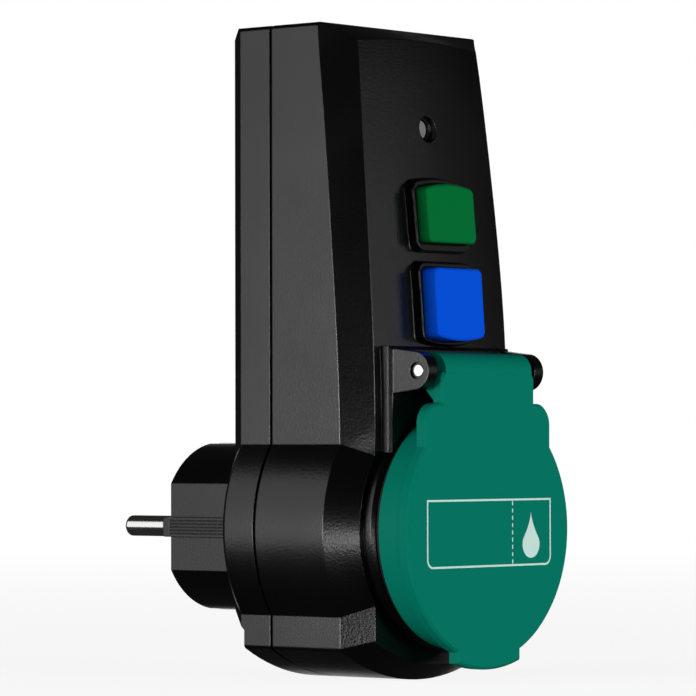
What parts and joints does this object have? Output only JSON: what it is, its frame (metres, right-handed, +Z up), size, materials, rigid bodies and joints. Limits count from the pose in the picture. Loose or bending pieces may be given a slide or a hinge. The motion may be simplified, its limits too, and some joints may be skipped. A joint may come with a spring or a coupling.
{
  "type": "rcd adapter plug",
  "caption": "Plug-in residual current adapter: earthed plug behind, lidded socket in front, reset and test buttons and an indicator window on a sloping panel.",
  "frame": {"origin": "centre of the plug's face, on the shared axis of plug and socket", "axes": "+Y into the wall along the plug's pins, +Z up along the housing, +X to the right as seen from the front"},
  "size_m": [0.0664, 0.0983, 0.1442],
  "materials": {
    "panel_plastic": "fine moulded grain",
    "shell_plastic": "fine moulded grain",
    "seal_rubber": "matt",
    "screw_steel": "zinc plated",
    "pin_nickel": "nickel plated",
    "contact_steel": "plain",
    "contact_brass": "plain",
    "spring_steel": "drawn wire",
    "insert_plastic": "moulded",
    "shutter_plastic": "moulded",
    "lid_plastic": "satin moulded teal green",
    "green_plastic": "satin",
    "blue_plastic": "satin",
    "lens_plastic": "clear white",
    "lamp_epoxy": "clear",
    "board": "green board",
    "ferrite": "ground",
    "copper": "enamelled copper wire",
    "varistor_ceramic": "coated ceramic",
    "capacitor_film": "boxed film",
    "component_black": "moulded",
    "resistor_ceramic": "cement coated",
    "lead_blue": "insulated",
    "lead_brown": "insulated"
  },
  "bodies": {
    "housing": {"front_shell": "panel_plastic", "rear_shell": "shell_plastic", "housing_seal": "seal_rubber", "housing_screws": "screw_steel", "live_pin": "pin_nickel", "neutral_pin": "pin_nickel", "plug_earth_contact": "contact_steel", "socket_insert": "insert_plastic", "socket_floor": "insert_plastic", "lid_seal": "seal_rubber", "shutter_clip": "contact_steel", "shutter_spring": "spring_steel", "live_socket_contact": "contact_brass", "neutral_socket_contact": "contact_brass", "socket_earth_clip": "contact_steel", "earth_post": "contact_brass", "hinge_pin": "pin_nickel", "lid_spring": "spring_steel", "reset_spring": "spring_steel", "test_spring": "spring_steel", "window_lens": "lens_plastic", "indicator_lamp": "lamp_epoxy", "circuit_board": "board", "board_screws": "screw_steel", "transformer_core": "ferrite", "transformer_winding": "copper", "transformer_cap": "shutter_plastic", "varistor": "varistor_ceramic", "filter_capacitor": "capacitor_film", "control_chip": "component_black", "rectifier_diodes": "component_black", "small_resistors": "component_black", "test_resistor": "resistor_ceramic", "line_leads": "lead_blue", "load_leads": "lead_brown", "mechanism_frame": "shutter_plastic", "fixed_contacts": "contact_brass", "carrier_spring": "spring_steel", "test_leaf": "contact_brass", "test_contact": "contact_brass", "coil_bobbin": "shutter_plastic", "coil_winding": "copper", "coil_yoke": "contact_steel", "plunger_spring": "spring_steel"},
    "lid": {"lid": "lid_plastic"},
    "reset_button": {"reset_button": "green_plastic"},
    "test_button": {"test_button": "blue_plastic"},
    "carrier": {"contact_carrier": "insert_plastic", "moving_contacts": "contact_brass"},
    "plunger": {"trip_plunger": "contact_steel"},
    "lever": {"latch_lever": "insert_plastic"},
    "shutter": {"socket_shutter": "shutter_plastic"}
  },
  "joints": [
    {"name": "lid_hinge", "type": "hinge", "parent": "housing", "child": "lid", "pos_m": [0, -0.07525, 0.0346], "axis": [-1, 0, 0], "range_deg": [0, 110], "stiffness_Nm_per_rad": 0.01, "springref_deg": -34.38},
    {"name": "reset_press", "type": "slide", "parent": "housing", "child": "reset_button", "axis": [0, 1, 0], "range_m": [0, 0.002], "stiffness_N_per_m": 400, "springref_m": -0.001, "deforming": ["reset_spring"]},
    {"name": "test_press", "type": "slide", "parent": "housing", "child": "test_button", "axis": [0, 1, 0], "range_m": [0, 0.0025], "stiffness_N_per_m": 400, "springref_m": -0.001, "deforming": ["test_spring", "test_leaf"]},
    {"name": "carrier_slide", "type": "slide", "parent": "housing", "child": "carrier", "axis": [0, 1, 0], "range_m": [0, 0.002], "deforming": ["carrier_spring"]},
    {"name": "plunger_slide", "type": "slide", "parent": "housing", "child": "plunger", "axis": [0, 0, -1], "range_m": [0, 0.0014], "stiffness_N_per_m": 60, "springref_m": -0.001, "deforming": ["plunger_spring"]},
    {"name": "latch_turn", "type": "hinge", "parent": "housing", "child": "lever", "pos_m": [-0.0144, -0.043, 0.0605], "axis": [0, -1, 0], "range_deg": [0, 15]},
    {"name": "shutter_turn", "type": "hinge", "parent": "housing", "child": "shutter", "pos_m": [0, -0.0529, 0], "axis": [0, 1, 0], "range_deg": [0, 45], "stiffness_Nm_per_rad": 0.002, "springref_deg": -17.19}
  ],
  "couplings": [
    {"joint": "carrier_slide", "follows": "reset_press", "ratio": 1},
    {"joint": "latch_turn", "follows": "plunger_slide", "rad_per_m": 178.57}
  ]
}
